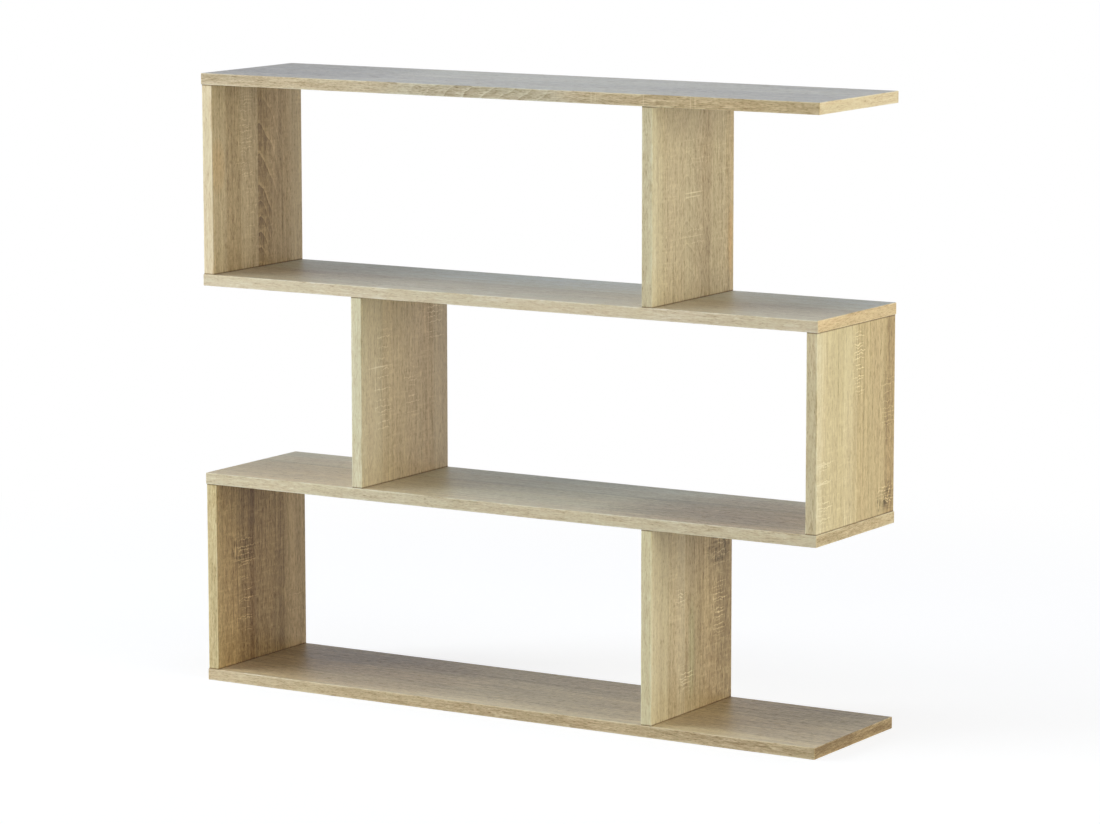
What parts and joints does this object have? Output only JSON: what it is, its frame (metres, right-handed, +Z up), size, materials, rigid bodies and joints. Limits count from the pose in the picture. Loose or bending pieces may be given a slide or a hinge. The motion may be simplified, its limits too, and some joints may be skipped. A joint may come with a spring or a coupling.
{
  "type": "zigzag bookshelf",
  "caption": "Open zigzag bookcase: long wood-grain shelves joined by uprights that step from one end to the other on alternate tiers, held by cam fittings and dowels.",
  "frame": {"origin": "on the floor, under the middle of the bottom shelf", "axes": "+X along the shelves, to the right seen from the front; +Y towards the back; +Z up"},
  "size_m": [1.1, 0.25, 0.972],
  "materials": {
    "oak_board": "satin melamine face with a pale oak grain print",
    "oak_edging": "satin edging strip with a pale oak grain print",
    "zinc_cam": "bare die-cast zinc",
    "steel_bolt": "bright zinc plating",
    "beech_dowel": "bare beech"
  },
  "bodies": {
    "root": {"bottom_shelf_board": "oak_board", "lower_shelf_board": "oak_board", "upper_shelf_board": "oak_board", "top_shelf_board": "oak_board", "bottom_side_board": "oak_board", "bottom_divider_board": "oak_board", "middle_side_board": "oak_board", "middle_divider_board": "oak_board", "top_side_board": "oak_board", "top_divider_board": "oak_board", "bottom_shelf_front_edging": "oak_edging", "bottom_shelf_rear_edging": "oak_edging", "bottom_shelf_left_edging": "oak_edging", "bottom_shelf_right_edging": "oak_edging", "lower_shelf_front_edging": "oak_edging", "lower_shelf_rear_edging": "oak_edging", "lower_shelf_left_edging": "oak_edging", "lower_shelf_right_edging": "oak_edging", "upper_shelf_front_edging": "oak_edging", "upper_shelf_rear_edging": "oak_edging", "upper_shelf_left_edging": "oak_edging", "upper_shelf_right_edging": "oak_edging", "top_shelf_front_edging": "oak_edging", "top_shelf_rear_edging": "oak_edging", "top_shelf_left_edging": "oak_edging", "top_shelf_right_edging": "oak_edging", "bottom_side_front_edging": "oak_edging", "bottom_side_rear_edging": "oak_edging", "bottom_divider_front_edging": "oak_edging", "bottom_divider_rear_edging": "oak_edging", "middle_side_front_edging": "oak_edging", "middle_side_rear_edging": "oak_edging", "middle_divider_front_edging": "oak_edging", "middle_divider_rear_edging": "oak_edging", "top_side_front_edging": "oak_edging", "top_side_rear_edging": "oak_edging", "top_divider_front_edging": "oak_edging", "top_divider_rear_edging": "oak_edging", "bottom_side_cams": "zinc_cam", "bottom_divider_cams": "zinc_cam", "middle_side_cams": "zinc_cam", "middle_divider_cams": "zinc_cam", "top_side_cams": "zinc_cam", "top_divider_cams": "zinc_cam", "bottom_side_cam_bolts": "steel_bolt", "bottom_divider_cam_bolts": "steel_bolt", "middle_side_cam_bolts": "steel_bolt", "middle_divider_cam_bolts": "steel_bolt", "top_side_cam_bolts": "steel_bolt", "top_divider_cam_bolts": "steel_bolt", "bottom_side_dowels": "beech_dowel", "bottom_divider_dowels": "beech_dowel", "middle_side_dowels": "beech_dowel", "middle_divider_dowels": "beech_dowel", "top_side_dowels": "beech_dowel", "top_divider_dowels": "beech_dowel"}
  },
  "joints": []
}
